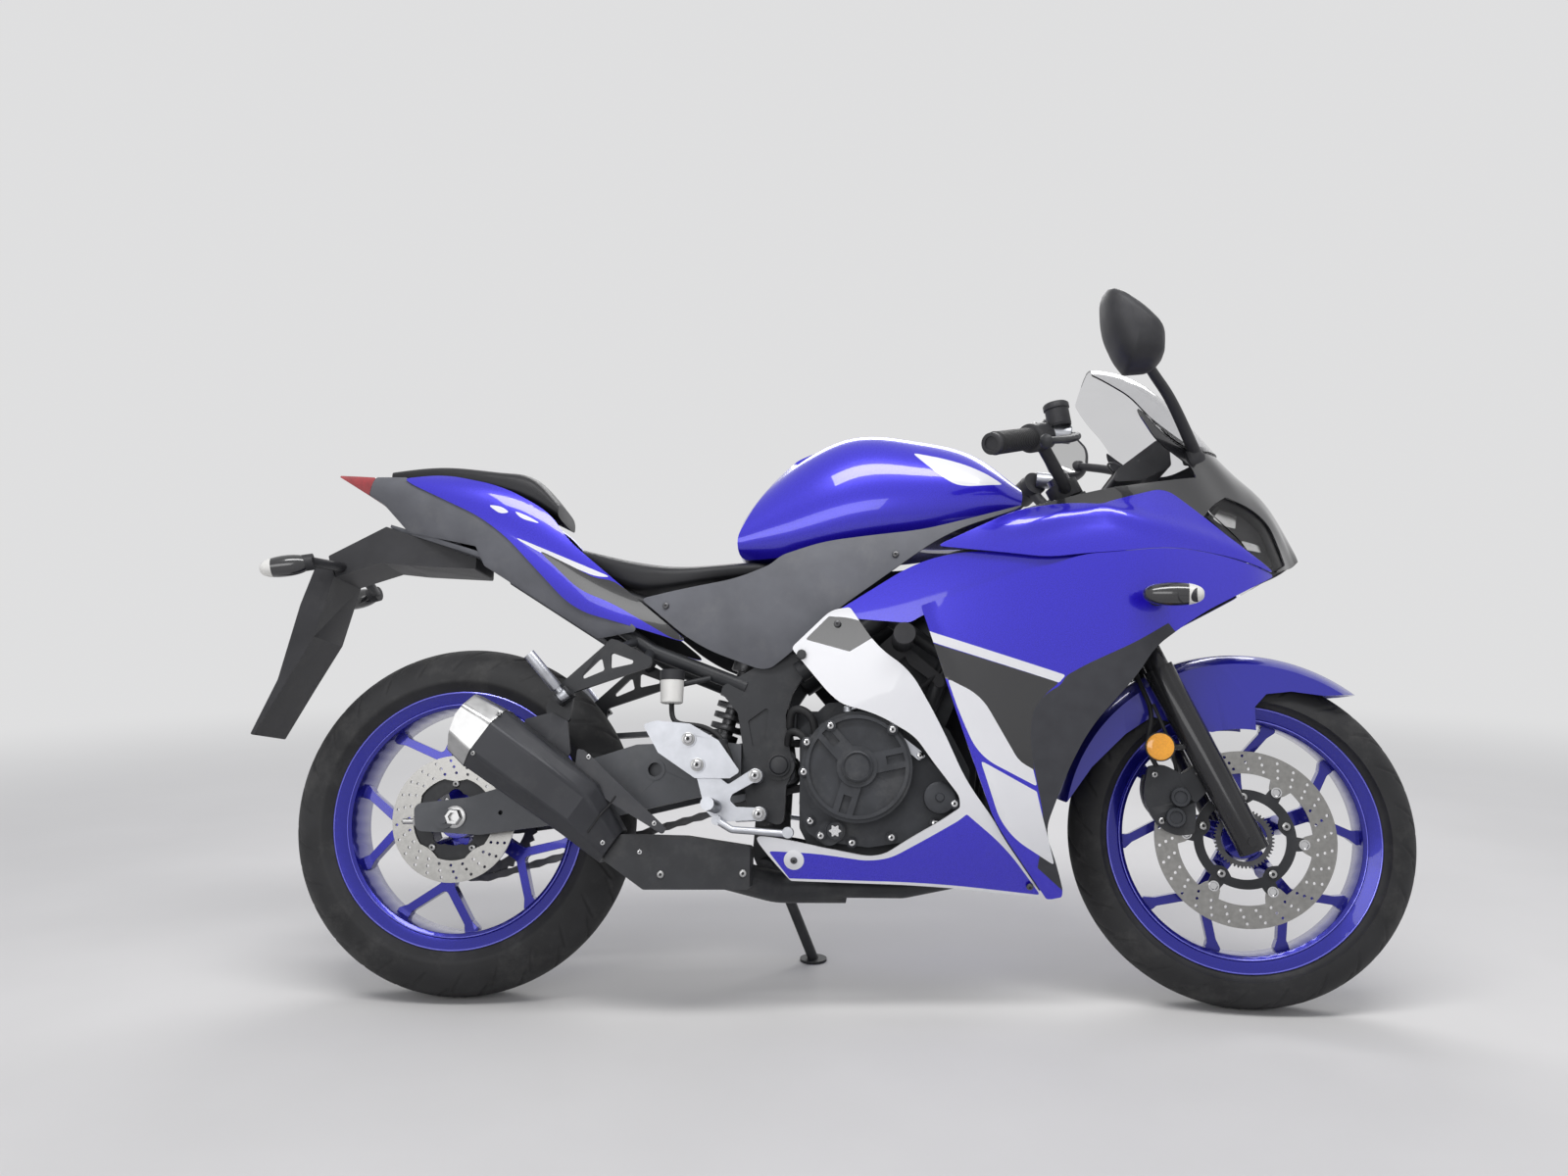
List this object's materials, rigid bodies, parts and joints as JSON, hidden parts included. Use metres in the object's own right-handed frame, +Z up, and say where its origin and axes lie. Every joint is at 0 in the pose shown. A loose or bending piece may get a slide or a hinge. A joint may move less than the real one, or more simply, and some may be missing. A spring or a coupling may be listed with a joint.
{
  "type": "sport motorcycle",
  "caption": "Faired sport motorcycle leaning on its side stand, with turning wheels and steering, folding stand and passenger pegs, and a hinged filler lid.",
  "frame": {"origin": "middle of the bounding box on the ground, with both tyres and the side stand's foot on z = 0", "axes": "+X forward, +Y to the machine's left, +Z up; the machine leans 12 degrees to its left"},
  "size_m": [2.0622, 0.7887, 1.2169],
  "materials": {
    "frame_black": "satin",
    "engine_black": "satin",
    "cover_black": "satin",
    "radiator_black": "matte",
    "exhaust_black": "satin",
    "muffler_black": "satin",
    "cap_silver": "satin",
    "paint_blue": "gloss",
    "paint_white": "gloss",
    "seat_vinyl": "satin",
    "plastic_grey": "matte",
    "plastic_black": "matte",
    "lens_red": "gloss",
    "lens_clear": "gloss",
    "screen_smoke": "gloss",
    "arm_black": "satin",
    "shock_steel": "satin",
    "chain_steel": "satin",
    "bracket_silver": "satin",
    "caliper_black": "satin",
    "slider_black": "satin",
    "rim_blue": "gloss",
    "tyre": "matte",
    "disc_steel": "satin",
    "sprocket_steel": "satin",
    "stand_black": "satin",
    "clamp_black": "satin",
    "fork_black": "satin",
    "bar_black": "satin"
  },
  "bodies": {
    "root": {"frame": "frame_black", "engine": "engine_black", "engine_covers": "cover_black", "radiator": "radiator_black", "exhaust_pipe": "exhaust_black", "muffler": "muffler_black", "muffler_cap": "cap_silver", "fuel_tank": "paint_blue", "rider_seat": "seat_vinyl", "passenger_seat": "seat_vinyl", "tail_covers": "paint_blue", "tail_undertray": "plastic_grey", "tail_lamp": "lens_red", "plate_carrier": "plastic_black", "indicators": "lens_clear", "side_covers": "plastic_grey", "side_fairing_right": "paint_blue", "side_fairing_left": "paint_blue", "belly_fairings": "paint_white", "front_cowl": "paint_blue", "nose_panel": "plastic_black", "headlamps": "lens_clear", "windscreen": "screen_smoke", "instrument_panel": "plastic_black", "mirrors": "plastic_black", "swingarm": "arm_black", "rear_shock": "shock_steel", "chain": "chain_steel", "footrest_brackets": "bracket_silver", "foot_levers": "bracket_silver", "rear_brake": "caliper_black", "crash_sliders": "slider_black"},
    "steering": {"triple_clamps": "clamp_black", "fork_legs": "fork_black", "handlebars": "bar_black", "front_fender": "paint_blue", "front_brake": "caliper_black"},
    "front_wheel": {"front_rim": "rim_blue", "front_tyre": "tyre", "front_disc": "disc_steel"},
    "rear_wheel": {"rear_rim": "rim_blue", "rear_tyre": "tyre", "rear_disc": "disc_steel", "rear_sprocket": "sprocket_steel"},
    "side_stand": {"side_stand": "stand_black"},
    "peg_right": {"passenger_peg_right": "bracket_silver"},
    "peg_left": {"passenger_peg_left": "bracket_silver"},
    "fuel_lid": {"fuel_lid": "cap_silver"}
  },
  "joints": [
    {"name": "steering", "type": "hinge", "parent": "root", "child": "steering", "pos_m": [0.45633, -0.04182, 0.80028], "axis": [-0.4233, 0.1884, 0.8862], "range_deg": [-23, 37]},
    {"name": "front_wheel_spin", "type": "hinge", "parent": "steering", "child": "front_wheel", "pos_m": [0.74186, -0.15533, 0.28813], "axis": [0.1106, 0.9816, -0.1559], "continuous": true},
    {"name": "rear_wheel_spin", "type": "hinge", "parent": "root", "child": "rear_wheel", "pos_m": [-0.63791, -0.14675, 0.30573], "axis": [0.0002, 0.9781, -0.2079], "continuous": true},
    {"name": "side_stand_fold", "type": "hinge", "parent": "root", "child": "side_stand", "pos_m": [-0.09283, -0.05196, 0.21345], "axis": [0.2198, 0.8767, 0.4278], "range_deg": [0, 104]},
    {"name": "peg_right_fold", "type": "hinge", "parent": "root", "child": "peg_right", "pos_m": [-0.43011, -0.27154, 0.5461], "axis": [0.7655, 0.1336, 0.6294], "range_deg": [0, 76]},
    {"name": "peg_left_fold", "type": "hinge", "parent": "root", "child": "peg_left", "pos_m": [-0.43005, 0.06495, 0.47458], "axis": [-0.7655, -0.1336, -0.6294], "range_deg": [0, 76]},
    {"name": "fuel_lid_hinge", "type": "hinge", "parent": "root", "child": "fuel_lid", "pos_m": [0.23742, -0.00311, 0.98222], "axis": [0.0002, 0.9781, -0.2079], "range_deg": [0, 100]}
  ]
}
